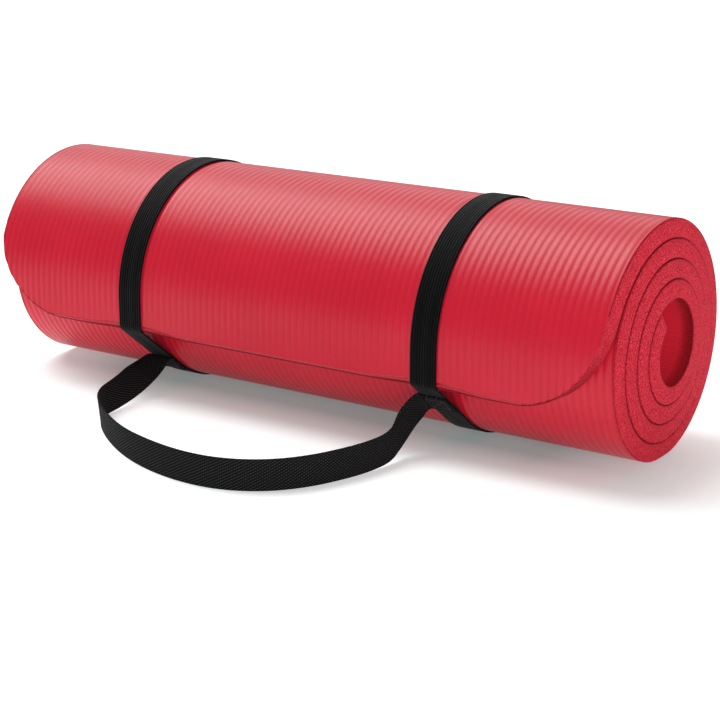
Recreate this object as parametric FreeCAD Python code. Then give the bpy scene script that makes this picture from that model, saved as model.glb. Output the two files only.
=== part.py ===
"""Rolled exercise mat of ribbed foam, held by an elastic sling with a carry strap.

The roll lies along X on the ground plane. Its section is a spiral of quarter circles: the
outer end of the foam hangs down the front (-Y) as a flap. Two elastic loops go round the
roll, and a webbing strap is sewn to them. It stands on its edge on the ground in front.
Millimetres, +Z up. The origin is under the middle of the roll and its loops.
"""
import FreeCAD
import Part
import math
import os

from FreeCAD import Vector

# The foam sheet
MAT_WIDTH = 600.0  # along the roll
FOAM = 15.0
LAYER_GAP = 0.3
OUTER_RADIUS = 97.1  # the first full turn's outer face
FLAP_RADIUS = 104.7  # the outer end stands off the turn below it
FLAP_EDGE_Z = 58.0
FLAP_CORNER = 75.0  # the sheet's rounded corners, at the outer end
EDGE_ROUND = 6.0  # the flap's outer edge, which the elastic presses round
TIP_CORNER = 10.0  # and at the end inside the core
QUARTERS = 17
TIP_TURN = 66.0  # degrees of the last quarter that the foam fills

# The elastic loops
LOOP_WIDTH = 24.0
ELASTIC = 1.3
LOOP_CLEARANCE = 0.3
LOOP_AT = {"left": -146.0, "right": 149.5}

# The webbing strap
STRAP_WIDTH = 25.0
WEBBING = 1.8
SEWN_LENGTH = 24.0
LEFT_TAB_PAST_ROLL = 6.0  # the left tab's end, past where the elastic meets the roll again
RIGHT_TAB_FROM_FLAP = 15.0  # from the flap's edge to the right tab's upper side
FOLD_GAP = 1.2  # at the fold between the left tab and the strap's free run
FACE_GAP = 0.6  # between the free run and the faces beside it at both folds
ARC_SHARE = 0.45  # of the shorter run, used by the arc at a bend

# The stitched boxes
STITCH_BOX = 17.0
THREAD = 0.8
THREAD_HEIGHT = 0.4

# The strap's free run, from the left loop to the right one: x, y, z of its middle, and
# the lean of its width from upright, in degrees
STRAP_ROUTE = [
    (-146.0, -78.0, 22.5, 65),
    (-145.0, -94.0, 18.5, 42),
    (-141.5, -113.0, 14.8, 24),
    (-134.0, -136.0, 12.9, 12),
    (-122.0, -160.0, 12.5, 0),
    (-105.0, -185.0, 12.5, 0),
    (-80.0, -207.0, 12.5, 0),
    (-48.0, -225.0, 12.5, 0),
    (-12.0, -240.0, 12.5, 0),
    (27.0, -247.0, 12.5, 0),
    (63.0, -243.0, 12.5, 0),
    (91.0, -227.0, 12.5, 0),
    (110.0, -202.0, 12.5, 0),
    (121.5, -174.0, 12.5, 0),
    (128.0, -148.0, 12.5, 0),
    (131.5, -124.0, 14.5, 0),
    (133.0, -104.0, 21.5, 0),
    (134.8, -90.0, 31.0, 0),
]

FOAM_BOTTOM = LOOP_CLEARANCE + ELASTIC
STEP = (FOAM + LAYER_GAP) / 4  # the radius lost in each quarter turn
SQUARE = ["left", "top", "right", "bottom"]


def radius(quarter):
    """Outer radius of a quarter of the spiral, counted from the flap."""
    return FLAP_RADIUS if quarter == 0 else OUTER_RADIUS - (quarter - 1) * STEP


def centres():
    """Centre (y, z) of each quarter: each pair shares the line through the joint between them."""
    first_y = (FLAP_RADIUS - OUTER_RADIUS) / 2
    found = [(first_y, radius(2) + OUTER_RADIUS - FLAP_RADIUS)]
    for quarter in range(1, QUARTERS):
        y, z = found[-1]
        lost = radius(quarter - 1) - radius(quarter)
        side = SQUARE[quarter % 4]
        if side == "top":
            found.append((y, z + lost))
        elif side == "right":
            found.append((y + lost, z))
        elif side == "bottom":
            found.append((y, z - lost))
        else:
            found.append((y - lost, z))
    return found


CENTRES = centres()
FLAP_Y = CENTRES[0][0] - FLAP_RADIUS


def on_circle(centre, r, degrees):
    a = math.radians(degrees)
    return Vector(0, centre[0] + r * math.cos(a), centre[1] + r * math.sin(a))


def arc(centre, r, start, end):
    """Arc in the YZ plane from one angle to another, in degrees."""
    return Part.Arc(
        on_circle(centre, r, start),
        on_circle(centre, r, (start + end) / 2),
        on_circle(centre, r, end),
    ).toShape()


def line(a, b):
    return Part.LineSegment(a, b).toShape()


def quarter_angles(quarter):
    start = 180 - 90 * quarter
    turn = TIP_TURN if quarter == QUARTERS - 1 else 90
    return start, start - turn


def extrude_x(edges, length, middle):
    """Solid along X from edges that close in the YZ plane."""
    face = Part.Face(Part.Wire(Part.__sortEdges__(edges)))
    solid = face.extrude(Vector(length, 0, 0))
    solid.translate(Vector(middle - length / 2, 0, 0))
    return solid


def edge_centre():
    return FLAP_Y + EDGE_ROUND, FLAP_EDGE_Z + EDGE_ROUND


def spiral_edges():
    """The rolled sheet's section."""
    outer = []
    inner = []
    for quarter, centre in enumerate(CENTRES):
        start, end = quarter_angles(quarter)
        outer.append(arc(centre, radius(quarter), start, end))
        inner.append(arc(centre, radius(quarter) - FOAM, start, end))
    edge_in = Vector(0, FLAP_Y + FOAM, FLAP_EDGE_Z)
    flap_top_z = CENTRES[0][1]
    flap = [
        line(Vector(0, FLAP_Y, FLAP_EDGE_Z + EDGE_ROUND), Vector(0, FLAP_Y, flap_top_z)),
        arc(edge_centre(), EDGE_ROUND, -180, -90),
        line(Vector(0, FLAP_Y + EDGE_ROUND, FLAP_EDGE_Z), edge_in),
        line(edge_in, Vector(0, FLAP_Y + FOAM, flap_top_z)),
    ]
    tip_centre = CENTRES[-1]
    tip_angle = quarter_angles(QUARTERS - 1)[1]
    tip = line(
        on_circle(tip_centre, radius(QUARTERS - 1), tip_angle),
        on_circle(tip_centre, radius(QUARTERS - 1) - FOAM, tip_angle),
    )
    return flap + outer + inner + [tip]


def corner_waste(r, depth, direction):
    """What a rounded corner takes off a square one. It lies in the XZ plane, corner at the
    origin, sheet towards -X and along direction in Z, and is depth thick along Y."""
    a = Vector(0, 0, 0)
    b = Vector(-r, 0, 0)
    c = Vector(0, 0, direction * r)
    middle = Vector(-r + r * math.sqrt(0.5), 0, direction * (r - r * math.sqrt(0.5)))
    edges = [line(a, b), Part.Arc(b, middle, c).toShape(), line(c, a)]
    return Part.Face(Part.Wire(edges)).extrude(Vector(0, depth, 0))


def at_end(waste, end):
    """The same cut at the roll's +X end (1) or at its -X end (-1)."""
    if end < 0:
        waste = waste.mirror(Vector(0, 0, 0), Vector(1, 0, 0))
    return waste


def flap_corner(end):
    """Rounds a corner of the flap, and stops in the gap behind the flap."""
    slack = (FLAP_RADIUS - OUTER_RADIUS) / 4
    waste = corner_waste(FLAP_CORNER, 3 * FOAM, 1)
    waste.translate(Vector(MAT_WIDTH / 2, FLAP_Y - FOAM, FLAP_EDGE_Z))
    behind = Part.makeCylinder(
        FLAP_RADIUS - FOAM - slack,
        MAT_WIDTH,
        Vector(0, CENTRES[0][0], CENTRES[0][1]),
        Vector(1, 0, 0),
    )
    below = Part.makeBox(
        MAT_WIDTH,
        2 * FOAM,
        CENTRES[0][1],
        Vector(0, FLAP_Y + FOAM + slack, 0),
    )
    return at_end(waste.cut(behind).cut(below), end)


def tip_corner(end):
    """Rounds a corner of the end inside the core."""
    centre = CENTRES[-1]
    angle = quarter_angles(QUARTERS - 1)[1]
    waste = corner_waste(TIP_CORNER, FOAM + 2 * LAYER_GAP, -1)
    waste.translate(Vector(MAT_WIDTH / 2, radius(QUARTERS - 1) - FOAM - LAYER_GAP, 0))
    waste.rotate(Vector(0, 0, 0), Vector(1, 0, 0), angle)
    waste.translate(Vector(0, centre[0], centre[1]))
    return at_end(waste.common(roll_space(LAYER_GAP / 2)), end)


def roll_space(clearance):
    """The last quarter's own space, so that a cut there leaves the turn outside it alone."""
    centre = CENTRES[-1]
    return Part.makeCylinder(
        radius(QUARTERS - 1) + clearance,
        2 * MAT_WIDTH,
        Vector(-MAT_WIDTH, centre[0], centre[1]),
        Vector(1, 0, 0),
    )


def foam_mat():
    mat = extrude_x(spiral_edges(), MAT_WIDTH, 0)
    for end in (1, -1):
        mat = mat.cut(flap_corner(end))
        mat = mat.cut(tip_corner(end))
    under = Part.makeBox(
        MAT_WIDTH + 2,
        4 * OUTER_RADIUS,
        FOAM_BOTTOM + 1,
        Vector(-MAT_WIDTH / 2 - 1, -2 * OUTER_RADIUS, -1),
    )
    return mat.cut(under)


def outer_tangent(low, low_r, high, high_r):
    """Where a straight line under two circles touches each, as (y, z) vectors."""
    gap = Vector(0, high[0] - low[0], high[1] - low[1])
    lean = math.asin((low_r - high_r) / gap.Length)
    along = math.atan2(gap.z, gap.y)
    side = along + math.pi / 2 - lean
    away = Vector(0, math.cos(side), math.sin(side))
    return Vector(0, *low) + away * low_r, Vector(0, *high) + away * high_r


def loop_edges(stand_off):
    """A contour round the roll at a distance from the foam, flat underneath."""
    low_r = radius(3) + stand_off
    edge_r = EDGE_ROUND + stand_off
    meets_roll, leaves_edge = outer_tangent(CENTRES[3], low_r, edge_centre(), edge_r)
    flat_z = FOAM_BOTTOM - stand_off
    right_r = radius(2) + stand_off
    right_end = -math.degrees(math.asin((CENTRES[2][1] - flat_z) / right_r))
    left_end = -180 + math.degrees(math.asin((CENTRES[3][1] - flat_z) / low_r))
    touch = meets_roll - Vector(0, *CENTRES[3])
    leave = leaves_edge - Vector(0, *edge_centre())
    touch_angle = math.degrees(math.atan2(touch.z, touch.y))
    leave_angle = math.degrees(math.atan2(leave.z, leave.y))
    return [
        arc(edge_centre(), edge_r, leave_angle, -180),
        line(
            Vector(0, FLAP_Y - stand_off, FLAP_EDGE_Z + EDGE_ROUND),
            Vector(0, FLAP_Y - stand_off, CENTRES[0][1]),
        ),
        arc(CENTRES[0], FLAP_RADIUS + stand_off, 180, 90),
        arc(CENTRES[1], radius(1) + stand_off, 90, 0),
        arc(CENTRES[2], right_r, 0, right_end),
        line(
            on_circle(CENTRES[2], right_r, right_end),
            on_circle(CENTRES[3], low_r, left_end),
        ),
        arc(CENTRES[3], low_r, left_end, touch_angle),
        line(meets_roll, leaves_edge),
    ]


def elastic_loop(middle):
    outside = extrude_x(loop_edges(FOAM_BOTTOM), LOOP_WIDTH, middle)
    inside = extrude_x(loop_edges(LOOP_CLEARANCE), LOOP_WIDTH, middle)
    return outside.cut(inside)


def sewing_line():
    """The elastic's straight stretch under the flap, on its outer face: its ends, the
    direction down it, and the way its face looks."""
    meets_roll, leaves_edge = outer_tangent(
        CENTRES[3],
        radius(3) + FOAM_BOTTOM,
        edge_centre(),
        EDGE_ROUND + FOAM_BOTTOM,
    )
    down = (meets_roll - leaves_edge).normalize()
    return leaves_edge, meets_roll, down, Vector(0, down.z, -down.y)


def tab_middle(side):
    """Middle of a tab's inner face. The left tab hangs lower on its loop."""
    leaves_edge, meets_roll, down, _ = sewing_line()
    if side == "left":
        middle = meets_roll + down * (LEFT_TAB_PAST_ROLL - SEWN_LENGTH / 2)
    else:
        middle = leaves_edge + down * (RIGHT_TAB_FROM_FLAP + STRAP_WIDTH / 2)
    middle.x = LOOP_AT[side]
    return middle


def plate(middle, x_size, down_size, height):
    """A flat block on the sewing line's face."""
    _, _, down, out = sewing_line()
    corner = middle - Vector(x_size / 2, 0, 0) - down * (down_size / 2)
    wire = Part.makePolygon(
        [
            corner,
            corner + Vector(x_size, 0, 0),
            corner + Vector(x_size, 0, 0) + down * down_size,
            corner + down * down_size,
            corner,
        ]
    )
    return Part.Face(wire).extrude(out * height)


def tab(side):
    """The strap's sewn end: along the loop on the left, across it on the right."""
    if side == "left":
        return plate(tab_middle(side), STRAP_WIDTH, SEWN_LENGTH, WEBBING)
    return plate(tab_middle(side), SEWN_LENGTH, STRAP_WIDTH, WEBBING)


def box_stitch(side):
    """A stitched square with its two diagonals, in raised thread."""
    out = sewing_line()[3]
    middle = tab_middle(side) + out * WEBBING
    frame = plate(middle, STITCH_BOX, STITCH_BOX, THREAD_HEIGHT)
    inner = STITCH_BOX - 2 * THREAD
    thread = frame.cut(plate(middle, inner, inner, THREAD_HEIGHT))
    for angle in (45, -45):
        diagonal = plate(middle, THREAD, math.sqrt(2) * (STITCH_BOX - THREAD), THREAD_HEIGHT)
        diagonal.rotate(middle, out, angle)
        thread = thread.fuse(diagonal)
    return thread.removeSplitter()


def strap_end(side):
    """Middle of the strap's section where it leaves a tab, and its width's direction."""
    _, _, down, out = sewing_line()
    middle = tab_middle(side) + out * (WEBBING / 2 + FACE_GAP)
    if side == "left":
        return middle - down * (SEWN_LENGTH / 2 + FOLD_GAP), Vector(-1, 0, 0)
    return middle - Vector((SEWN_LENGTH + WEBBING) / 2 + FACE_GAP, 0, 0), down * -1


def section(middle, width_way, along):
    """The strap's section as a closed wire, square to its run."""
    across = (width_way - along * width_way.dot(along)).normalize() * (STRAP_WIDTH / 2)
    thick = along.cross(across).normalize() * (WEBBING / 2)
    corners = [across + thick, across - thick, across * -1 - thick, thick - across]
    points = [middle + c for c in corners]
    return Part.makePolygon(points + points[:1])


def strap_stations():
    """Each bend of the strap: its place, its width's direction and the way the strap runs."""
    places = [Vector(*row[:3]) for row in STRAP_ROUTE]
    leans = [row[3] for row in STRAP_ROUTE]
    first, first_way = strap_end("left")
    last, last_way = strap_end("right")
    points = [first] + places + [last]
    runs = [(b - a).normalize() for a, b in zip(points, points[1:])]
    ways = [first_way]
    along = [runs[0]]
    for before, after, lean in zip(runs, runs[1:], leans):
        run = (before + after).normalize()
        side = Vector(run.y, -run.x, 0).normalize()
        a = math.radians(lean)
        ways.append(Vector(0, 0, 1) * math.cos(a) + side * math.sin(a))
        along.append(run)
    return points, ways + [last_way], along + [runs[-1]]


def upright_band(points):
    """The strap where it stands on the ground: straight runs joined by tangent arcs."""
    edges = []
    at = (points[0] + points[1]) * 0.5
    for before, bend, after in zip(points, points[1:], points[2:]):
        back = (before - bend).normalize()
        on = (after - bend).normalize()
        half_turn = (math.pi - back.getAngle(on)) / 2
        reach = ARC_SHARE * min((before - bend).Length, (after - bend).Length)
        r = reach / math.tan(half_turn)
        print("strap arc radius %.0f mm" % r)
        middle = bend + (back + on).normalize() * (r / math.cos(half_turn) - r)
        start = bend + back * reach
        end = bend + on * reach
        edges.append(line(at, start))
        edges.append(Part.Arc(start, middle, end).toShape())
        at = end
    edges.append(line(at, (points[-2] + points[-1]) * 0.5))
    path = Part.Wire(edges)
    sides = [path.makeOffset2D(d, 0, False, True) for d in (WEBBING / 2, -WEBBING / 2)]
    ends = [
        line(sides[0].OrderedVertexes[i].Point, sides[1].OrderedVertexes[i].Point)
        for i in (0, -1)
    ]
    outline = Part.Wire(Part.__sortEdges__(sides[0].Edges + sides[1].Edges + ends))
    band = Part.Face(outline).extrude(Vector(0, 0, STRAP_WIDTH))
    band.translate(Vector(0, 0, -STRAP_WIDTH / 2))
    return band, path.Length


def carry_strap():
    points, ways, along = strap_stations()
    upright = [i + 1 for i, row in enumerate(STRAP_ROUTE) if row[2] == STRAP_WIDTH / 2]
    first, last = upright[0], upright[-1]
    band, length = upright_band(points[first : last + 1])
    pieces = [band]
    for low, high, start in ((0, first, True), (last, len(points) - 1, False)):
        wires = [section(points[i], ways[i], along[i]) for i in range(low, high + 1)]
        if start:
            joint = (points[first] + points[first + 1]) * 0.5
            run = (points[first + 1] - points[first]).normalize()
            wires.append(section(joint, Vector(0, 0, 1), run))
        else:
            joint = (points[last - 1] + points[last]) * 0.5
            run = (points[last] - points[last - 1]).normalize()
            wires.insert(0, section(joint, Vector(0, 0, 1), run))
        for a, b in zip(wires, wires[1:]):
            pieces.append(Part.makeLoft([a, b], True, True))
            length += (b.CenterOfMass - a.CenterOfMass).Length
    strap = pieces[0].multiFuse(pieces[1:])
    print(
        "strap free run %.0f mm, volume %.0f of %.0f mm3"
        % (length, strap.Volume, length * STRAP_WIDTH * WEBBING)
    )
    return strap


def sheet_length():
    """Length of the rolled sheet along its middle."""
    length = CENTRES[0][1] - FLAP_EDGE_Z
    for quarter in range(QUARTERS):
        start, end = quarter_angles(quarter)
        length += math.radians(start - end) * (radius(quarter) - FOAM / 2)
    return length


def main():
    os.makedirs("parts", exist_ok=True)
    nodes = {"foam_mat": foam_mat(), "carry_strap": carry_strap()}
    for side, middle in LOOP_AT.items():
        nodes["elastic_loop_" + side] = elastic_loop(middle)
        nodes["sewn_end_" + side] = tab(side)
        nodes["box_stitch_" + side] = box_stitch(side)
    print("foam sheet %.0f mm long when flat" % sheet_length())
    for side in LOOP_AT:
        print(side, "fold of the strap at %.2f %.2f %.2f" % tuple(strap_end(side)[0]))
    for name, shape in nodes.items():
        if len(shape.Solids) != 1 or not shape.isValid():
            print("PROBLEM", name, len(shape.Solids), shape.isValid())
        box = shape.BoundBox
        print(
            "%s volume %.0f box %.1f %.1f %.1f to %.1f %.1f %.1f"
            % (
                name,
                shape.Volume,
                box.XMin,
                box.YMin,
                box.ZMin,
                box.XMax,
                box.YMax,
                box.ZMax,
            )
        )
        shape.exportStep("parts/%s.step" % name)


main()
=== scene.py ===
"""Rolled exercise mat of ribbed foam in a carry sling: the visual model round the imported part.

Metres, +Z up, in the part's own frame. The foam is one wound sheet, the two elastic loops go
round it, and one length of webbing is sewn to both.
"""

import math

import bpy
import numpy as np
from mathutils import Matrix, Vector


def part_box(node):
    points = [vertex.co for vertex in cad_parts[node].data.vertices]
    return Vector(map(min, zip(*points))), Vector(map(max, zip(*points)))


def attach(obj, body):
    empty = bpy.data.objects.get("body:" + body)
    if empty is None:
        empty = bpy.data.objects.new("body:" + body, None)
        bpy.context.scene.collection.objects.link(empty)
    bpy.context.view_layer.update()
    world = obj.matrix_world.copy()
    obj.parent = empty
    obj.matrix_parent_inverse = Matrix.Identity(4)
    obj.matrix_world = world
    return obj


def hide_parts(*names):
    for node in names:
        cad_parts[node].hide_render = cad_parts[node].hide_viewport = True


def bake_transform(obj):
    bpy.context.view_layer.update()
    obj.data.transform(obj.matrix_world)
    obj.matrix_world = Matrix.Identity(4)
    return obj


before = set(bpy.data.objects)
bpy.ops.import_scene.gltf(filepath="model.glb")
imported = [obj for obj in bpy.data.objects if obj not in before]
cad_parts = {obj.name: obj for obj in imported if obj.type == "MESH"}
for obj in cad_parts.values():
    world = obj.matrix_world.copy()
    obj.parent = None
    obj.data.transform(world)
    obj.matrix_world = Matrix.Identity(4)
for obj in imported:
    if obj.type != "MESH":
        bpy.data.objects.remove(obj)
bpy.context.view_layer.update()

# The camera, looking back along -Y and from the roll's +X end
CAMERA_AZIMUTH = 34.31
CAMERA_ELEVATION = 16.012
CAMERA_DISTANCE = 1.60108
CAMERA_AIM = Vector((0.021733, 0, 0.036408))
CAMERA_LENS = 94.0

# The wound sheet
FOAM = 0.015
LAYER_GAP = 0.0003
OUTER_RADIUS = 0.0971
FLAP_RADIUS = 0.1047
FLAP_EDGE_Z = 0.058
FLAP_CORNER = 0.075
TIP_CORNER = 0.010
EDGE_ROUND = 0.006  # the flap's outer edge, under the elastic
FREE_EDGE_ROUND = 0.0029  # the same, away from the elastic
EDGE_FADE = 0.020  # over which the grooves deepen from that edge
EDGE_GROOVE = 0.3  # share of their depth that they start with
EDGE_SHADE = 0.85  # how dark the painted shadow on the cut band under that edge is
CORNER_BLEND = 0.020  # over which its rounding narrows into a corner
LOOP_MARGIN = 0.001  # beside a loop, still with the loop's rounding
LOOP_BLEND = 0.045  # over which the rounding then narrows
RIM_ROUND = 0.0014  # every other edge of the foam
QUARTERS = 17
TIP_TURN = 66.0
RIBS = 92
RIB_STEPS = 6  # columns of the mesh in a rib
RIB_DEPTH = 0.0005
BACK_RIDGE = 0.0026  # pitch of the fine ridges across the sheet's other face
BACK_DEPTH = 0.00028
CORE_FACE = 0.26  # length of the sheet whose other face lines the core
CORE_ROW = BACK_RIDGE / 4
PLAIN_STEP = 12  # columns between the points where no rib shows
ROW = 0.006  # rows of the mesh along the sheet
OUTSIDE = 0.655  # length of the sheet whose outer face can be seen
ROUND_STEPS = 4
FLAP_ZONE = 0.083  # length of the sheet's outer end, whose rows bend round its corners
FLAP_ROWS = 13
FLAP_CROWDING = 1.7  # how much closer those rows lie towards the edge
TIP_ZONE = 0.014  # the same at its inner end
TIP_ROWS = 5
SKIN, CUT, BACK = range(3)  # the foam's finishes
STANDS_OUT = 0.00207  # how far a turn stands out at the +X end past the turn outside it
FACE_LEAN = 0.0016  # the same, from a layer's outer face to its inner one

# The sling
ELASTIC = 0.0013
LOOP_CLEARANCE = 0.0003
STRAP_WIDTH = 0.025
WEBBING = 0.0018
SEWN_LENGTH = 0.024
LEFT_TAB_PAST_ROLL = 0.006
RIGHT_TAB_FROM_FLAP = 0.015
FOLD_GAP = 0.0012
FACE_GAP = 0.0006
STITCH_BOX = 0.017
THREAD_RADIUS = 0.0004

# The strap's free run, from the left loop to the right one: x, y, z of its middle, and the
# lean of its width from upright, in degrees
STRAP_ROUTE = [
    (-0.146, -0.079, 0.022, 70),
    (-0.144, -0.096, 0.018, 50),
    (-0.140, -0.115, 0.015, 25),
    (-0.136, -0.136, 0.013, 15),
    (-0.132, -0.156, 0.0125, 5),
    (-0.117, -0.177, 0.0125, 5),
    (-0.087, -0.202, 0.0125, 5),
    (-0.050, -0.225, 0.0125, 5),
    (-0.012, -0.239, 0.0125, 0),
    (0.027, -0.246, 0.0125, 0),
    (0.062, -0.243, 0.0125, 0),
    (0.092, -0.227, 0.0125, 0),
    (0.112, -0.202, 0.0125, 0),
    (0.124, -0.173, 0.0125, 0),
    (0.131, -0.146, 0.0125, 0),
    (0.134, -0.124, 0.014, 0),
    (0.132, -0.108, 0.020, 0),
    (0.133, -0.096, 0.032, 0),
]

MAT_LOW, MAT_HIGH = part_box("foam_mat")
MAT_WIDTH = MAT_HIGH.x - MAT_LOW.x
FOAM_BOTTOM = MAT_LOW.z
FLAP_Y = MAT_LOW.y
SPIRAL_STEP = (FOAM + LAYER_GAP) / 4
SIDES = ("left", "right")
LOOP_BOXES = {side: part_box("elastic_loop_" + side) for side in SIDES}
LOOP_PLACES = {side: (low.x + high.x) / 2 for side, (low, high) in LOOP_BOXES.items()}
LOOP_WIDTH = LOOP_BOXES["left"][1].x - LOOP_BOXES["left"][0].x


def piece(name, data):
    """An object in the scene."""
    made = bpy.data.objects.new(name, data)
    bpy.context.scene.collection.objects.link(made)
    return made


def distances(places):
    """Length along a line of places, at each of them."""
    steps = np.linalg.norm(np.diff(places, axis=0), axis=1)
    return np.concatenate([[0], np.cumsum(steps)])


# ---------------------------------------------------------------- camera and light


def set_camera():
    """The camera, aimed at the roll."""
    a = math.radians(CAMERA_AZIMUTH)
    e = math.radians(CAMERA_ELEVATION)
    back = Vector((math.sin(a) * math.cos(e), -math.cos(a) * math.cos(e), math.sin(e)))
    lens = bpy.data.cameras.new("camera")
    lens.lens = CAMERA_LENS
    lens.sensor_width = 36.0
    camera = piece("camera", lens)
    camera.location = CAMERA_AIM + back * CAMERA_DISTANCE
    camera.rotation_euler = (-back).to_track_quat("-Z", "Y").to_euler()
    bpy.context.scene.camera = camera


def skylight(name, towards, spread, strength):
    """A broad, far light. towards is the way to it, and spread its width in degrees."""
    lamp = bpy.data.lights.new(name, "SUN")
    lamp.angle = math.radians(spread)
    lamp.energy = strength
    made = piece(name, lamp)
    made.rotation_euler = (-Vector(towards)).to_track_quat("-Z", "Y").to_euler()


set_camera()


# ---------------------------------------------------------------- shader maths


class Signal:
    """One output of a material's nodes. Sums written with it add Math nodes."""

    def __init__(self, finish, socket):
        self.finish = finish
        self.socket = socket

    def _math(self, operation, *values):
        return self.finish.node("ShaderNodeMath", {"operation": operation}, dict(enumerate(values)))

    def __add__(self, other):
        return self._math("ADD", self, other)

    __radd__ = __add__

    def __sub__(self, other):
        return self._math("SUBTRACT", self, other)

    def __rsub__(self, other):
        return self._math("SUBTRACT", other, self)

    def __mul__(self, other):
        return self._math("MULTIPLY", self, other)

    def __truediv__(self, other):
        return self._math("DIVIDE", self, other)

    def __pow__(self, other):
        return self._math("POWER", self, other)

    def sine(self):
        return self._math("SINE", self)

    def size(self):
        return self._math("ABSOLUTE", self)

    def wrapped(self):
        return self._math("FRACT", self)


class Finish:
    """A material under construction."""

    def __init__(self, name, **shader):
        self.material = bpy.data.materials.new(name)
        self.material.use_nodes = True
        self.nodes = self.material.node_tree.nodes
        self.links = self.material.node_tree.links
        self.shader = self.nodes["Principled BSDF"]
        self.set(**shader)

    def node(self, kind, settings=None, values=None, output=0):
        """Adds a node and gives one of its outputs. values go to its inputs."""
        made = self.nodes.new(kind)
        for key, value in (settings or {}).items():
            if key == "stops":
                self._stops(made.color_ramp, value)
            else:
                setattr(made, key, value)
        for key, value in (values or {}).items():
            self._feed(made.inputs[key], value)
        return Signal(self, made.outputs[output])

    def _feed(self, socket, value):
        if isinstance(value, Signal):
            self.links.new(value.socket, socket)
        else:
            socket.default_value = value

    def _stops(self, ramp, stops):
        while len(ramp.elements) < len(stops):
            ramp.elements.new(0.5)
        for element, (at, value) in zip(ramp.elements, stops):
            element.position = at
            element.color = (value, value, value, 1)

    def set(self, **sockets):
        """Feeds the shader's inputs, named with _ for each space."""
        for name, value in sockets.items():
            self._feed(self.shader.inputs[name.replace("_", " ")], value)

    def place(self):
        """The place on the piece."""
        return self.node("ShaderNodeTexCoord", output="Object")

    def lay(self):
        """The place along the yarn and the place across it."""
        return self.split(self.node("ShaderNodeAttribute", {"attribute_name": "lay"}, output=1))[:2]

    def hollow(self):
        """How deep the place lies in a groove or gap, from 0 to 1, which sets how much painted
        shade it gets; on the flap's cut band it holds a painted shadow.
        """
        return self.node("ShaderNodeAttribute", {"attribute_name": "hollow"}, output=2)

    def wave(self, value, pitch):
        """A smooth wave from 0 to 1 with this pitch."""
        return (value * (2 * math.pi / pitch)).sine() * 0.5 + 0.5

    def split(self, vector):
        """The three parts of a vector."""
        return [self.node("ShaderNodeSeparateXYZ", values={0: vector}, output=i) for i in range(3)]

    def noise(self, where, scale, detail=2.0, rough=0.5):
        values = {"Vector": where, "Scale": scale, "Detail": detail, "Roughness": rough}
        return self.node("ShaderNodeTexNoise", values=values)

    def ramp(self, value, stops):
        return self.node("ShaderNodeValToRGB", {"stops": stops}, {0: value})

    def mix(self, share, first, second):
        values = {0: share, 6: first, 7: second}
        return self.node("ShaderNodeMix", {"data_type": "RGBA"}, values, output=2)

    def bump(self, height, distance, strength=1.0):
        values = {"Height": height, "Distance": distance, "Strength": strength}
        self.set(Normal=self.node("ShaderNodeBump", values=values))


def foam_skin(name="foam_skin", shade=0.16, base_rough=0.27, painted_glow=0.0):
    """The sheet's moulded face: soft sheen, fine pores, painted shade in its grooves and gaps, and
    a faint painted red glow when one is asked for.
    """
    f = Finish(name, IOR=1.45, Specular_IOR_Level=0.33, Sheen_Weight=0.01, Sheen_Roughness=0.5)
    hollow = f.hollow()
    here = f.place()
    cloud = f.ramp(f.noise(here, 14.0, 3.0), [(0.3, 0.0), (0.7, 1.0)])
    pores = f.noise(here, 900.0, 3.0, 0.65)
    specks = f.ramp(f.noise(here, 2200.0, 1.0), [(0.32, 1.0), (0.45, 0.0)])
    colour = f.mix(cloud, (0.57, 0.010, 0.029, 1), (0.62, 0.012, 0.034, 1))
    colour = f.mix(specks * 0.35, colour, (0.34, 0.006, 0.016, 1))
    # Painted shade: the colour darkens by the hollow share, in the grooves and gaps.
    colour = f.mix(hollow * shade, colour, (0.24, 0.004, 0.012, 1))
    f.set(Base_Color=colour, Roughness=base_rough + pores * 0.12 + hollow * 0.1)
    # Painted light: an even red glow of the given strength, which lifts the dim core lining.
    f.set(Emission_Color=(1.0, 0.04, 0.07, 1), Emission_Strength=painted_glow)
    f.bump(pores, 0.00012)
    return f.material


def foam_back():
    """The other face, which lines the core: duller, with stronger painted shade in the lines
    between its ridges, and a faint painted glow that lightens the dim core.
    """
    return foam_skin("foam_back", 0.45, 0.42, painted_glow=0.10)


def foam_cut():
    """The sheet's cut edge: open cells, with dark pits between lighter walls, painted shade where
    it rounds off into the gap between two turns, and a painted shadow on the flap's cut band."""
    f = Finish("foam_cut", IOR=1.4, Specular_IOR_Level=0.1)
    gap = f.hollow()
    here = f.place()
    cells = f.noise(here, 980.0, 2.0, 0.7)
    pits = f.ramp(cells, [(0.36, 1.0), (0.56, 0.0)])
    walls = f.ramp(cells, [(0.50, 0.0), (0.68, 1.0)])
    cloud = f.noise(here, 60.0, 2.0)
    colour = f.mix(cloud, (0.66, 0.020, 0.042, 1), (0.76, 0.028, 0.054, 1))
    colour = f.mix(walls * 0.6, colour, (0.92, 0.10, 0.13, 1))
    colour = f.mix(pits * 0.7, colour, (0.17, 0.002, 0.008, 1))
    # Painted shade: near black where the edge rounds into a gap, and the painted shadow on the
    # flap's cut band.
    colour = f.mix(gap * 0.9, colour, (0.09, 0.001, 0.004, 1))
    f.set(Base_Color=colour, Roughness=0.66 + cells * 0.25)
    f.bump(cells, 0.0006, 1.0)
    return f.material


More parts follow.
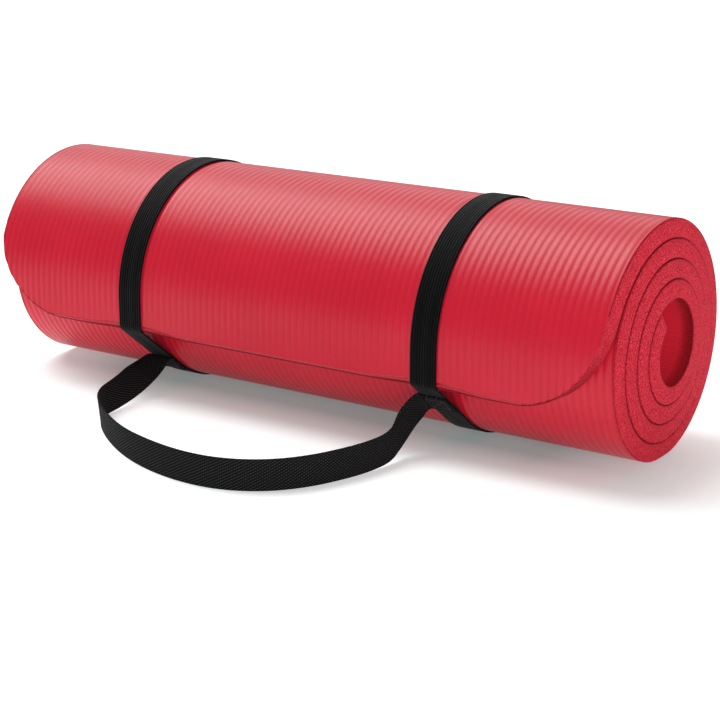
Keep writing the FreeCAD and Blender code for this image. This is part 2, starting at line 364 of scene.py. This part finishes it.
def elastic_weave():
    """Black elastic: rows of small slanted stitches between the lengthwise ribs."""
    rib_pitch = 0.0024
    stitch_pitch = 0.0018
    stitch_rise = 0.0012  # along the elastic, from one side of a rib to the other
    f = Finish("elastic_weave", IOR=1.5, Specular_IOR_Level=0.06)
    f.set(Sheen_Weight=0.06, Sheen_Roughness=0.4)
    along, across = f.lay()
    rib = (across * (math.pi / rib_pitch)).sine().size() ** 3.0
    slant = along + (across / rib_pitch).wrapped() * stitch_rise
    stitch = f.wave(slant, stitch_pitch)
    fuzz = f.noise(f.place(), 3000.0, 2.0, 0.7)
    light = rib * (stitch * 0.6 + 0.4) + fuzz * 0.2
    colour = f.mix(light, (0.0001, 0.0001, 0.0001, 1), (0.0030, 0.0030, 0.0034, 1))
    f.set(Base_Color=colour, Roughness=0.66 - stitch * 0.12)
    f.bump(rib * 1.4 + stitch * 0.4 + fuzz * 0.3, 0.0003)
    return f.material


def webbing_twill():
    """Black webbing: slanted yarn floats crossed by a finer weft."""
    float_pitch, float_slope = 0.0044, 1.9
    weft_pitch, weft_slope = 0.0029, 1.2
    f = Finish("webbing_twill", IOR=1.5, Specular_IOR_Level=0.04)
    along, across = f.lay()
    float_run = f.wave(along - across * float_slope, float_pitch)
    weft = f.wave(along + across * weft_slope, weft_pitch)
    fuzz = f.noise(f.place(), 3400.0, 2.0, 0.7)
    raised = float_run ** 3.4 * (weft ** 2.0 * 0.9 + 0.1)
    colour = f.mix(raised * 0.9 + fuzz * 0.1, (0.0001, 0.0001, 0.0001, 1), (0.095, 0.095, 0.098, 1))
    f.set(Base_Color=colour, Roughness=0.72 - raised * 0.2)
    f.bump(raised + fuzz * 0.3, 0.0008)
    return f.material


def thread_satin():
    """Black polyester thread: two plies that wind round each other."""
    ply_pitch = 0.0009
    f = Finish("thread_satin", IOR=1.5, Specular_IOR_Level=0.4, Sheen_Weight=0.03)
    along, across = f.lay()
    ply = ((along * (2 * math.pi / ply_pitch)) + across * 2.0).sine() * 0.5 + 0.5
    fuzz = f.noise(f.place(), 5000.0, 2.0)
    colour = f.mix(ply, (0.010, 0.010, 0.011, 1), (0.045, 0.045, 0.048, 1))
    f.set(Base_Color=colour, Roughness=0.34 + fuzz * 0.22)
    f.bump(ply, 0.0001)
    return f.material


def floor_paper():
    """White paper, with a painted shadow close to the roll: a greyer, cooler colour and a dimmer
    glow there, which also even out the red light that the foam throws.
    """
    f = Finish("floor_paper", Specular_IOR_Level=0.1, Emission_Strength=0.45)
    here = f.place()
    x, y, _ = f.split(here)
    along = f.ramp(x + 0.5, [(0.14, 0.0), (0.30, 1.0), (0.72, 1.0), (0.86, 0.0)])
    away = f.ramp(y * -2.0 + 0.5, [(0.30, 0.0), (0.50, 1.0), (0.58, 1.0), (0.73, 0.0)])
    # Painted shadow: a patch in front of the roll, where the paper gets greyer and glows less.
    painted_shadow_near_roll = along * away
    colour = f.mix(f.noise(here, 3.0, 2.0), (0.81, 0.85, 0.85, 1), (0.83, 0.87, 0.87, 1))
    f.set(Base_Color=f.mix(painted_shadow_near_roll, colour, (0.34, 0.60, 0.58, 1)), Roughness=0.88)
    f.set(Emission_Color=f.mix(painted_shadow_near_roll, (1, 1, 1, 1), (0.38, 0.38, 0.38, 1)))
    return f.material


# ---------------------------------------------------------------- the wound foam sheet


def quarter_radius(quarter):
    """Radius of the sheet's outer face in one quarter turn, counted from the flap."""
    return FLAP_RADIUS if quarter == 0 else OUTER_RADIUS - (quarter - 1) * SPIRAL_STEP


def quarter_centres():
    """Centre (y, z) of each quarter of the spiral, from the flap inwards."""
    found = [(FLAP_Y + FLAP_RADIUS, quarter_radius(2) + OUTER_RADIUS - FLAP_RADIUS)]
    for quarter in range(1, QUARTERS):
        y, z = found[-1]
        lost = quarter_radius(quarter - 1) - quarter_radius(quarter)
        step_y, step_z = [(-lost, 0), (0, lost), (lost, 0), (0, -lost)][quarter % 4]
        found.append((y + step_y, z + step_z))
    return found


CENTRES = quarter_centres()


def wound_line():
    """Closely spaced places down the sheet: outer face y and z, the way into the foam, and
    the turns so far."""
    rows = [
        (FLAP_Y, z, 1.0, 0.0, 0.0)
        for z in np.linspace(FLAP_EDGE_Z, CENTRES[0][1], 16, endpoint=False)
    ]
    for quarter, (y, z) in enumerate(CENTRES):
        start = 180 - 90 * quarter
        turn = TIP_TURN if quarter == QUARTERS - 1 else 90.0
        r = quarter_radius(quarter)
        for part in np.linspace(0, 1, 60, endpoint=quarter == QUARTERS - 1):
            a = math.radians(start - turn * part)
            c, s = math.cos(a), math.sin(a)
            rows.append((y + r * c, z + r * s, -c, -s, (quarter + turn * part / 90) / 4))
    return np.array(rows)


WOUND = wound_line()
WOUND_AT = distances(WOUND[:, :2] + WOUND[:, 2:4] * FOAM / 2)
SHEET_LENGTH = float(WOUND_AT[-1])


def in_roll(x, s, depth):
    """Places in the roll from places in the flat sheet: x over its width, s from the flap's
    edge, and depth below its outer face."""
    y, z, in_y, in_z, turns = [np.interp(s, WOUND_AT, WOUND[:, k]) for k in range(5)]
    px = x + STANDS_OUT * turns + FACE_LEAN * depth / FOAM
    pz = np.maximum(z + in_z * depth, FOAM_BOTTOM)
    return np.stack(np.broadcast_arrays(px, y + in_y * depth, pz), axis=-1)


def corner_cut(x, r):
    """How far a rounded corner cuts into the sheet's end at x, and the way out there."""
    over = np.clip(np.abs(x) - (MAT_WIDTH / 2 - r), 0, r)
    cut = r - np.sqrt(r * r - over * over)
    return cut, np.sign(x) * over / r, np.sqrt(1 - (over / r) ** 2)


def groove(x):
    """Share of the depth of the grooves between the ribs: none on a rib's broad crest."""
    return np.abs(np.sin(math.pi * RIBS * x / MAT_WIDTH)) ** 5


def back_ridge(s):
    """The same for the fine ridges across the sheet's other face, where they can be seen."""
    shown = np.clip((s - (SHEET_LENGTH - CORE_FACE)) / BACK_RIDGE, 0, 1)
    return shown * np.sin(math.pi * s / BACK_RIDGE) ** 2


def rim_profile(r):
    """The sheet's edge from outer face to inner: (inset, depth) pairs for a rounding r."""
    angles = np.radians(np.linspace(0, 90, ROUND_STEPS + 1))
    outer = [(r * (1 - math.sin(a)), r * (1 - math.cos(a))) for a in angles]
    small = RIM_ROUND
    inner = [(small * (1 - math.cos(a)), FOAM - small + small * math.sin(a)) for a in angles[::2]]
    middle = [(0.0, r + (FOAM - small - r) * k / 3) for k in (1, 2)]
    return np.array(outer + middle + inner)


def flap_rounding(columns):
    """Rounding of the flap's edge at each column, and how far into a corner each one is."""
    past = np.abs(columns) - (MAT_WIDTH / 2 - FLAP_CORNER)
    cornering = np.clip(past / CORNER_BLEND, 0, 1)
    from_middles = [np.abs(columns - x) for x in LOOP_PLACES.values()]
    from_loop = np.min(from_middles, axis=0) - LOOP_WIDTH / 2
    free = np.clip((from_loop - LOOP_MARGIN) / LOOP_BLEND, 0, 1)
    free = free * free * (3 - 2 * free)
    rounding = EDGE_ROUND + (FREE_EDGE_ROUND - EDGE_ROUND) * free
    return rounding + (RIM_ROUND - rounding) * cornering, cornering


def even_rows():
    """Rows between the sheet's two end zones, closer together where they line the core."""
    start, end = SHEET_LENGTH - CORE_FACE, SHEET_LENGTH - TIP_ZONE
    plain = np.linspace(FLAP_ZONE, start, round((start - FLAP_ZONE) / ROW), endpoint=False)
    core = np.linspace(start, end, round((end - start) / CORE_ROW))
    return np.concatenate([plain, core])[1:-1]


def flat_face(columns, rounding):
    """Flat places of one face, with its boundary drawn in by the rim's rounding."""
    flap_cut, flap_out_x, flap_out_s = corner_cut(columns, FLAP_CORNER)
    tip_cut, tip_out_x, tip_out_s = corner_cut(columns, TIP_CORNER)
    start = flap_cut + rounding * flap_out_s
    end = SHEET_LENGTH - tip_cut - RIM_ROUND * tip_out_s
    tip_start = SHEET_LENGTH - TIP_ZONE
    crowded = np.linspace(0, 1, FLAP_ROWS)[:, None] ** FLAP_CROWDING
    head = start + (FLAP_ZONE - start) * crowded
    body = np.repeat(even_rows()[:, None], len(columns), axis=1)
    tail = tip_start + (end - tip_start) * np.linspace(0, 1, TIP_ROWS)[:, None]
    s = np.vstack([head, body, tail])
    x = np.repeat(columns[None, :], len(s), axis=0)
    x[0] = columns - rounding * flap_out_x
    x[-1] = columns - RIM_ROUND * tip_out_x
    x[:, 0] = columns[0] + RIM_ROUND
    x[:, -1] = columns[-1] - RIM_ROUND
    return x, s


def face_polygons(shown, width, first):
    """Polygons over one face, whose points are numbered from first, width to a row. Rows that
    show, and those at the two ends, have one in each column. The others have a few wide ones,
    with more corners along a row that they share with finer ones."""
    fine = shown.copy()
    fine[:3] = fine[-3:] = True
    rows = len(fine) - 1
    found = []

    def index(j, i):
        return first + j * width + i

    for j in range(rows):
        ribbed = fine[j] and fine[j + 1]
        step = 1 if ribbed else PLAIN_STEP
        for i in range(0, width - 1, step):
            far = i + step
            low = [index(j, i)]
            high = [index(j + 1, far)]
            if not ribbed and fine[j] and j > 0 and fine[j - 1]:
                low = [index(j, k) for k in range(i, far)]
            if not ribbed and fine[j + 1] and j + 2 <= rows and fine[j + 2]:
                high = [index(j + 1, k) for k in range(far, i, -1)]
            found.append(low + [index(j, far)] + high + [index(j + 1, i)])
    return found


def round_the_edge(rows, last):
    """Row and column of each point of a face's boundary, in order."""
    return (
        [(0, i) for i in range(last)]
        + [(j, last) for j in range(rows)]
        + [(rows, i) for i in range(last, 0, -1)]
        + [(j, 0) for j in range(rows, 0, -1)]
    )


def rim_places(around, columns, outer_s, hollow):
    """Flat places down the sheet's edge between its two faces, and the painted shade of each:
    darker towards the gap between two turns, and a painted shadow on the flap's cut band.
    """
    flap_cut, flap_out_x, flap_out_s = corner_cut(columns, FLAP_CORNER)
    tip_cut, tip_out_x, tip_out_s = corner_cut(columns, TIP_CORNER)
    flap_round, _ = flap_rounding(columns)
    places, shades = [], []
    for j, i in around:
        r, x, s = RIM_ROUND, columns[i], outer_s[j, i]
        out_x, out_s = math.copysign(1.0, x), 0.0
        if j == 0:
            r, s = flap_round[i], flap_cut[i]
            out_x, out_s = flap_out_x[i], -flap_out_s[i]
        elif j == len(outer_s) - 1:
            s = SHEET_LENGTH - tip_cut[i]
            out_x, out_s = tip_out_x[i], tip_out_s[i]
        for inset, depth in rim_profile(r)[1:-1]:
            fading = RIB_DEPTH * hollow[j, i] * max(0.0, 1 - depth / (2 * r))
            places.append((x - inset * out_x, s - inset * out_s, depth + fading))
            # Painted shade: the rounding darkens towards the gap, and the flap's cut band gets the
            # painted shadow of EDGE_SHADE.
            round_share = inset / (r if depth < r else RIM_ROUND)
            shades.append(EDGE_SHADE * abs(out_s) if j == 0 else round_share)
    return np.array(places), shades


def foam_sheet():
    """The whole wound sheet: its ribbed outer face, its ridged inner face and its cut rim."""
    columns = np.linspace(-0.5, 0.5, RIBS * RIB_STEPS + 1) * MAT_WIDTH
    width = len(columns)
    flap_round, cornering = flap_rounding(columns)
    outer_x, outer_s = flat_face(columns, flap_round)
    inner_x, inner_s = flat_face(columns, np.full_like(columns, RIM_ROUND))
    from_edge = (outer_s - outer_s[0]) / EDGE_FADE
    hollow = groove(columns) * np.where(cornering < 1, np.clip(from_edge, EDGE_GROOVE, 1), 1)
    ridge = back_ridge(inner_s)

    outer_shown = outer_s[:, width // 2] < OUTSIDE
    outer = face_polygons(outer_shown, width, 0)
    inner = face_polygons(np.zeros_like(outer_shown), width, outer_s.size)
    faces = [polygon[::-1] for polygon in outer] + inner
    finish = [SKIN] * len(outer) + [BACK] * len(inner)

    around = round_the_edge(len(outer_s) - 1, width - 1)
    rim, rim_shade = rim_places(around, columns, outer_s, hollow)
    profile = len(rim_profile(RIM_ROUND)) - 2
    strips = []
    for n, (j, i) in enumerate(around):
        on_face = j * width + i
        first = 2 * outer_s.size + n * profile
        strips.append([on_face, *range(first, first + profile), outer_s.size + on_face])
    for n, (j, i) in enumerate(around):
        here, beyond = strips[n], strips[(n + 1) % len(strips)]
        for k in range(profile + 1):
            faces.append([here[k], here[k + 1], beyond[k + 1], beyond[k]])
            moulded = j == 0 and k == 0 and cornering[i] < 0.5
            finish.append(SKIN if moulded else CUT)

    points = np.concatenate(
        [
            in_roll(outer_x, outer_s, RIB_DEPTH * hollow).reshape(-1, 3),
            in_roll(inner_x, inner_s, FOAM - BACK_DEPTH * ridge).reshape(-1, 3),
            in_roll(rim[:, 0], rim[:, 1], rim[:, 2]),
        ]
    )
    used = np.unique(np.concatenate([np.array(face) for face in faces]))
    new_index = np.full(len(points), -1)
    new_index[used] = np.arange(len(used))
    mesh = bpy.data.meshes.new("foam_roll")
    mesh.from_pydata(points[used].tolist(), [], [new_index[face].tolist() for face in faces])
    # Painted shade: the end columns are set fully dark, so the rims darken into the gap lines at
    # the roll's ends.
    hollow[:, 0] = hollow[:, -1] = ridge[:, 0] = ridge[:, -1] = 1.0
    shares = np.concatenate([hollow.ravel(), ridge.ravel(), rim_shade])
    mesh.attributes.new("hollow", "FLOAT", "POINT").data.foreach_set("value", shares[used])
    for made in (foam_skin(), foam_cut(), foam_back()):
        mesh.materials.append(made)
    mesh.polygons.foreach_set("material_index", finish)
    mesh.polygons.foreach_set("use_smooth", [True] * len(faces))
    mesh.update()
    return piece("foam_roll", mesh)


foam = foam_sheet()
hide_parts("foam_mat")
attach(foam, "mat")


# ---------------------------------------------------------------- the sling's line


def touch_points(low, low_r, high, high_r):
    """Where a straight line under two circles touches each."""
    gap = Vector((0, high[0] - low[0], high[1] - low[1]))
    side = math.atan2(gap.z, gap.y) + math.pi / 2 - math.asin((low_r - high_r) / gap.length)
    away = Vector((0, math.cos(side), math.sin(side)))
    return Vector((0, *low)) + away * low_r, Vector((0, *high)) + away * high_r


EDGE_CENTRE = (FLAP_Y + EDGE_ROUND, FLAP_EDGE_Z + EDGE_ROUND)


def rows_between(first, last, steps):
    """The rows that divide the way from one row to another into even steps."""
    shares = [k / steps for k in range(1, steps)]
    return [tuple(p + (q - p) * t for p, q in zip(first, last)) for t in shares]


def loop_contour(stand_off, spacing=0.003):
    """The closed line of a loop at a distance from the foam, and the way out along it."""
    low_r = quarter_radius(3) + stand_off
    edge_r = EDGE_ROUND + stand_off
    meets_roll, leaves_edge = touch_points(CENTRES[3], low_r, EDGE_CENTRE, edge_r)
    flat_z = FOAM_BOTTOM - stand_off
    right_r = quarter_radius(2) + stand_off
    right_end = -math.asin((CENTRES[2][1] - flat_z) / right_r)
    left_end = -math.pi + math.asin((CENTRES[3][1] - flat_z) / low_r)
    touch = math.atan2(meets_roll.z - CENTRES[3][1], meets_roll.y - CENTRES[3][0])
    leave = math.atan2(leaves_edge.z - EDGE_CENTRE[1], leaves_edge.y - EDGE_CENTRE[0])
    quarter = math.pi / 2
    arcs = [
        (EDGE_CENTRE, edge_r, leave, -math.pi),
        (CENTRES[0], FLAP_RADIUS + stand_off, math.pi, quarter),
        (CENTRES[1], OUTER_RADIUS + stand_off, quarter, 0),
        (CENTRES[2], right_r, 0, right_end),
        (CENTRES[3], low_r, left_end, touch),
    ]
    rows = []
    for centre, r, start, end in arcs:
        steps = max(3, round(abs(end - start) * r / spacing))
        for a in np.linspace(start, end, steps + 1):
            c, s = math.cos(a), math.sin(a)
            here = (centre[0] + r * c, centre[1] + r * s, c, s)
            gap = math.dist(here[:2], rows[-1][:2]) if rows else 0
            if gap > 2 * spacing:
                rows += rows_between(rows[-1], here, round(gap / spacing))
            rows.append(here)
    gap = math.dist(rows[0][:2], rows[-1][:2])
    rows += rows_between(rows[-1], rows[0], round(gap / spacing))
    rows = np.array(rows)
    keep = np.linalg.norm(rows[:, :2] - np.roll(rows[:, :2], 1, axis=0), axis=1) > 1e-6
    rows = rows[keep]
    rows[:, 2:] /= np.linalg.norm(rows[:, 2:], axis=1)[:, None]
    return rows


def textile(name, points, faces, lay, finish):
    """A piece of cloth or thread. lay holds each point's place along and across."""
    mesh = bpy.data.meshes.new(name)
    mesh.from_pydata([tuple(p) for p in points], [], faces)
    lay_of_points = mesh.attributes.new("lay", "FLOAT_VECTOR", "POINT")
    lay_of_points.data.foreach_set("vector", np.array(lay, np.float32).ravel())
    mesh.polygons.foreach_set("use_smooth", [True] * len(faces))
    mesh.materials.append(finish)
    mesh.update()
    return piece(name, mesh)


def swept(name, rings, lay, closed, finish):
    """A piece of cloth through rings of points, closed on itself or with two flat ends."""
    count, around, _ = rings.shape
    faces = []
    for j in range(count if closed else count - 1):
        n = (j + 1) % count
        for i in range(around):
            k = (i + 1) % around
            faces.append((j * around + i, j * around + k, n * around + k, n * around + i))
    if not closed:
        faces.append(tuple(range(around - 1, -1, -1)))
        faces.append(tuple((count - 1) * around + i for i in range(around)))
    return textile(name, rings.reshape(-1, 3).tolist(), faces, lay, finish)


def elastic_section(width):
    """Closed section of the elastic, (across, height): lengthwise ribs on its outer face."""
    ribs = 12
    crest = 0.00016
    selvedge = 0.0005  # over which the elastic thins at each side
    thinnest = 0.62  # share of its thickness left there
    back_inset = 0.0003
    steps = ribs * 4
    half = width / 2
    outer = []
    for k in range(steps + 1):
        v = k / steps * 2 - 1
        edge = min(1.0, (1 - abs(v)) * half / selvedge)
        sunk = crest * (1 - abs(math.sin(math.pi * ribs * k / steps)))
        lift = ELASTIC * (thinnest + (1 - thinnest) * math.sqrt(edge)) - sunk
        outer.append((v * half, lift))
    back = [(x, 0.0) for x in (half - back_inset, half / 2, 0.0, -half / 2, back_inset - half)]
    return np.array(outer + back)


def elastic_loop(side, weave):
    """One loop of elastic round the roll."""
    node = "elastic_loop_" + side
    low, high = LOOP_BOXES[side]
    width = high.x - low.x
    contour = loop_contour(LOOP_CLEARANCE)
    section = elastic_section(width)
    along = distances(contour[:, :2])
    rings = np.zeros((len(contour), len(section), 3))
    rings[:, :, 0] = LOOP_PLACES[side] + section[None, :, 0]
    for k in (0, 1):
        rings[:, :, 1 + k] = contour[:, None, k] + contour[:, None, 2 + k] * section[None, :, 1]
    rings[:, :, 2] = np.maximum(rings[:, :, 2], low.z)
    lay = np.zeros_like(rings)
    lay[:, :, 0] = along[:, None]
    lay[:, :, 1] = section[None, :, 0]
    band = swept("elastic_band_" + side, rings, lay, True, weave)
    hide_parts(node)
    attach(band, "sling")


elastic = elastic_weave()
for side in SIDES:
    elastic_loop(side, elastic)


# ---------------------------------------------------------------- the webbing strap

TOUCH_ROLL, LEAVE_EDGE = touch_points(
    CENTRES[3],
    quarter_radius(3) + LOOP_CLEARANCE + ELASTIC,
    EDGE_CENTRE,
    EDGE_ROUND + LOOP_CLEARANCE + ELASTIC,
)
DOWN = (TOUCH_ROLL - LEAVE_EDGE).normalized()
OUT = Vector((0, DOWN.z, -DOWN.y))


def tab_middle(side):
    """Middle of a sewn end's inner face, on the elastic's straight stretch."""
    if side == "left":
        middle = TOUCH_ROLL + DOWN * (LEFT_TAB_PAST_ROLL - SEWN_LENGTH / 2)
    else:
        middle = LEAVE_EDGE + DOWN * (RIGHT_TAB_FROM_FLAP + STRAP_WIDTH / 2)
    middle.x = LOOP_PLACES[side]
    return middle


def strap_controls():
    """Control points of the whole strap and the way of its width at each: the sewn end on the
    left loop, the free run, and the sewn end across the right loop."""
    clearance = 0.00005  # between the sewn ends and the elastic
    flat_until = 0.004  # short of a sewn end's fold
    left, right = tab_middle("left"), tab_middle("right")
    across = Vector((1, 0, 0))
    on_face = OUT * (WEBBING / 2 + clearance)
    folded = OUT * (WEBBING / 2 + FACE_GAP)
    points = [
        left + on_face + DOWN * (SEWN_LENGTH / 2),
        left + on_face - DOWN * (SEWN_LENGTH / 2 - flat_until),
        left + folded - DOWN * (SEWN_LENGTH / 2 + FOLD_GAP),
    ]
    ways = [-across] * 3
    free = [Vector(row[:3]) for row in STRAP_ROUTE]
    right_fold = right + folded - across * ((SEWN_LENGTH + WEBBING) / 2 + FACE_GAP)
    run = [points[-1]] + free + [right_fold]
    for before, after, row in zip(run, run[2:], STRAP_ROUTE):
        here = Vector(row[:3])
        way = ((here - before).normalized() + (after - here).normalized()).normalized()
        side = Vector((way.y, -way.x, 0)).normalized()
        lean = math.radians(row[3])
        ways.append(Vector((0, 0, 1)) * math.cos(lean) + side * math.sin(lean))
    points += free
    points += [
        right_fold,
        right + on_face - across * (SEWN_LENGTH / 2 - flat_until),
        right + on_face + across * (SEWN_LENGTH / 2),
    ]
    ways += [-DOWN] * 3
    return points, ways


def spline_points(points):
    """Places along one smooth spline with these control points."""
    curve = bpy.data.curves.new("strap_line", "CURVE")
    curve.dimensions = "3D"
    curve.resolution_u = 14
    spline = curve.splines.new("NURBS")
    spline.points.add(len(points) - 1)
    for target, p in zip(spline.points, points):
        target.co = (*p, 1)
    spline.order_u = 3
    spline.use_endpoint_u = True
    holder = bpy.data.objects.new("strap_line", curve)
    mesh = bpy.data.meshes.new_from_object(holder)
    found = np.array([v.co for v in mesh.vertices])
    bpy.data.objects.remove(holder)
    bpy.data.meshes.remove(mesh)
    return found


def webbing_section():
    """Closed section of the webbing, (across, height): flat faces, rounded selvedges that are
    a little thicker than the middle."""
    half, thick = STRAP_WIDTH / 2, WEBBING / 2
    across = np.array([-1, -0.985, -0.95, -0.86, -0.6, -0.3, 0, 0.3, 0.6, 0.86, 0.95, 0.985, 1])
    height = np.array([0.3, 0.72, 0.98, 0.86, 0.84, 0.84, 0.84, 0.84, 0.84, 0.86, 0.98, 0.72, 0.3])
    top = np.stack([across * half, height * thick], axis=1)
    return np.concatenate([top, top[::-1] * (1, -1)])


def carry_strap():
    """The whole strap, sewn ends and free run, as one length of webbing."""
    points, ways = strap_controls()
    line = spline_points(points)
    edge = spline_points([p + w * (STRAP_WIDTH / 2) for p, w in zip(points, ways)])
    forward = np.gradient(line, axis=0)
    forward /= np.linalg.norm(forward, axis=1)[:, None]
    width = edge - line
    width -= forward * (width * forward).sum(1)[:, None]
    width /= np.linalg.norm(width, axis=1)[:, None]
    height = np.cross(forward, width)
    section = webbing_section()
    rings = (
        line[:, None]
        + width[:, None] * section[None, :, :1]
        + height[:, None] * section[None, :, 1:]
    )
    rings[:, :, 2] = np.maximum(rings[:, :, 2], 0.0)
    along = distances(line)
    lay = np.zeros_like(rings)
    lay[:, :, 0] = along[:, None]
    lay[:, :, 1] = section[None, :, 0]
    strap = swept("webbing_strap", rings, lay, False, webbing_twill())
    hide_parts("carry_strap", "sewn_end_left", "sewn_end_right")
    plane = tab_middle("left")
    plane + OUT * 0.0026
    plane + OUT * 0.030
    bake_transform(strap)


carry_strap()


# ---------------------------------------------------------------- the box stitching


BEAD = ((-0.5, 0.25), (-0.36, 0.8), (0, 1.0), (0.36, 0.8), (0.5, 0.25))  # place, thickness
BEAD_SIDES = 6


def stitch(start, end):
    """Points of one stitch: a plump bead of thread whose ends dip into the webbing."""
    run = end - start
    way = run.normalized()
    side = way.cross(OUT)
    points = []
    for t, size in BEAD:
        middle = (start + end) / 2 + way * (t * run.length) + OUT * (THREAD_RADIUS * (size - 0.75))
        for k in range(BEAD_SIDES):
            a = 2 * math.pi * k / BEAD_SIDES
            offset = side * (math.cos(a) * THREAD_RADIUS) + OUT * (math.sin(a) * THREAD_RADIUS)
            points.append(middle + offset * size)
    return points


def stitch_faces(base):
    """Faces of one stitch whose points are numbered from base."""
    found = []
    for row in range(base, base + BEAD_SIDES * (len(BEAD) - 1), BEAD_SIDES):
        for n in range(BEAD_SIDES):
            m = (n + 1) % BEAD_SIDES
            found.append((row + n, row + m, row + BEAD_SIDES + m, row + BEAD_SIDES + n))
    last = base + BEAD_SIDES * (len(BEAD) - 1)
    found.append(tuple(base + n for n in reversed(range(BEAD_SIDES))))
    found.append(tuple(last + n for n in range(BEAD_SIDES)))
    return found


def box_stitch(side, finish):
    """A stitched square with its two diagonals, on a sewn end."""
    height = WEBBING * 0.92  # of the thread's middle over the elastic
    gap = 0.08  # share of a stitch's room left free at each of its ends
    edge_stitches, diagonal_stitches = 6, 8
    middle = tab_middle(side) + OUT * height
    half = STITCH_BOX / 2 - THREAD_RADIUS
    across = Vector((1, 0, 0))
    signs = ((-1, -1), (1, -1), (1, 1), (-1, 1))
    corners = [middle + across * (half * a) + DOWN * (half * b) for a, b in signs]
    lines = [(corners[k], corners[(k + 1) % 4], edge_stitches) for k in range(4)]
    lines += [(corners[k], corners[k + 2], diagonal_stitches) for k in (0, 1)]
    points, faces, lay = [], [], []
    for start, end, count in lines:
        for k in range(count):
            a = start.lerp(end, (k + gap) / count)
            b = start.lerp(end, (k + 1 - gap) / count)
            bead = stitch(a, b)
            faces += stitch_faces(len(points))
            points += bead
            lay += [((p - start).length, n % BEAD_SIDES, 0) for n, p in enumerate(bead)]
    made = textile("thread_box_" + side, points, faces, lay, finish)
    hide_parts("box_stitch_" + side)
    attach(made, "sling")


satin = thread_satin()
for side in SIDES:
    box_stitch(side, satin)


# ---------------------------------------------------------------- floor and light


def studio():
    """A pale floor just under the part, soft light from three sides and a dim white world."""
    floor_half = 6.0
    floor_z = -0.0002
    world_strength = 0.16
    mesh = bpy.data.meshes.new("floor")
    signs = ((-1, -1), (1, -1), (1, 1), (-1, 1))
    corners = [(floor_half * a, floor_half * b, floor_z) for a, b in signs]
    mesh.from_pydata(corners, [], [(0, 1, 2, 3)])
    mesh.materials.append(floor_paper())
    floor = piece("floor", mesh)
    world = bpy.data.worlds.new("studio")
    world.use_nodes = True
    sky = world.node_tree.nodes["Background"].inputs
    sky["Color"].default_value = (1, 1, 1, 1)
    sky["Strength"].default_value = world_strength
    bpy.context.scene.world = world
    bpy.context.scene.view_settings.view_transform = "Standard"
    skylight("overhead", (-0.54, 0.04, 0.84), 42, 2.5)
    skylight("from_behind", (-0.50, 0.60, 0.62), 60, 0.9)
    skylight("fill", (0.72, -0.68, 0.10), 40, 1.95)


studio()
